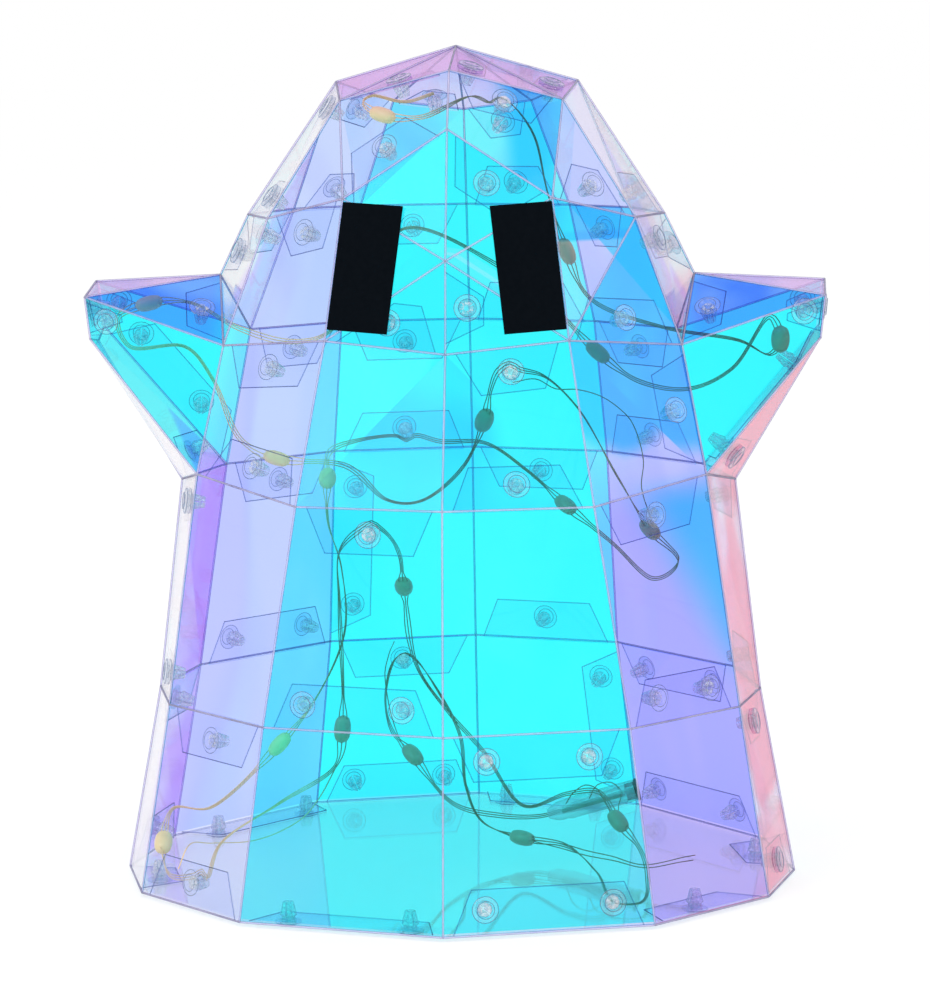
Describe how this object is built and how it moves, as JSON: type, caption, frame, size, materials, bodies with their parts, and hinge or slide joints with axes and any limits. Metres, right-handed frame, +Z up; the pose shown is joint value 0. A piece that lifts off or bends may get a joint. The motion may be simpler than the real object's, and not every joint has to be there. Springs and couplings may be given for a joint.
{
  "type": "light-up ghost figure",
  "caption": "Standing faceted figure of folded clear iridescent film panels, joined by tabs and clear snap rivets, with stub arms, two black eye patches and a string of lights inside.",
  "frame": {"origin": "on the surface it stands on, under the middle of the object's bounding box", "axes": "+Z up, the face looks along -Y, +X to the viewer's right"},
  "size_m": [0.358, 0.3118, 0.4065],
  "materials": {
    "film": "clear iridescent film, cyan where it faces the viewer and violet to pink where it turns away",
    "rivet": "clear moulded plastic",
    "eye": "flat matt black card",
    "controller": "dark sleeve, satin",
    "board": "green lacquered board",
    "wire": "dark green insulation, with translucent beads round the lights"
  },
  "bodies": {
    "root": {"floor_panel": "film", "skirt_front_left": "film", "skirt_front_right": "film", "skirt_side_left": "film", "skirt_side_right": "film", "skirt_back": "film", "waist_front_left": "film", "waist_front_right": "film", "waist_side_left": "film", "waist_side_right": "film", "waist_back": "film", "chest_front_left": "film", "chest_front_right": "film", "arm_rear_left": "film", "arm_rear_right": "film", "chest_back": "film", "arm_front_left": "film", "arm_front_right": "film", "arm_cap_left": "film", "arm_cap_right": "film", "face_panel": "film", "temple_left": "film", "temple_right": "film", "head_side_left": "film", "head_side_right": "film", "head_back": "film", "forehead_left": "film", "forehead_right": "film", "head_strip_left": "film", "head_strip_right": "film", "nape_left": "film", "nape_right": "film", "crown_main": "film", "crown_flap": "film", "rivet_floor_front_left_1": "rivet", "rivet_floor_front_left_2": "rivet", "rivet_floor_frontCorner_left_1": "rivet", "rivet_floor_rearCorner_left_1": "rivet", "rivet_floor_rearCorner_left_2": "rivet", "rivet_floor_frontFold_right_1": "rivet", "rivet_floor_side_right_1": "rivet", "rivet_floor_rearFold_right_1": "rivet", "rivet_floor_rearFold_right_2": "rivet", "rivet_floor_frontFold_left_1": "rivet", "rivet_skirt_rearFold_left_1": "rivet", "rivet_waist_front_left_1": "rivet", "rivet_waist_rearFold_left_1": "rivet", "rivet_chest_front_right_1": "rivet", "rivet_hairline_right_1": "rivet", "rivet_floor_front_right_1": "rivet", "rivet_floor_front_right_2": "rivet", "rivet_skirt_front_right_1": "rivet", "rivet_skirt_front_right_2": "rivet", "eye_left": "eye", "eye_right": "eye", "controller_sleeve": "controller", "controller_board": "board", "controller_bush": "controller", "light_string": "wire"}
  },
  "joints": []
}
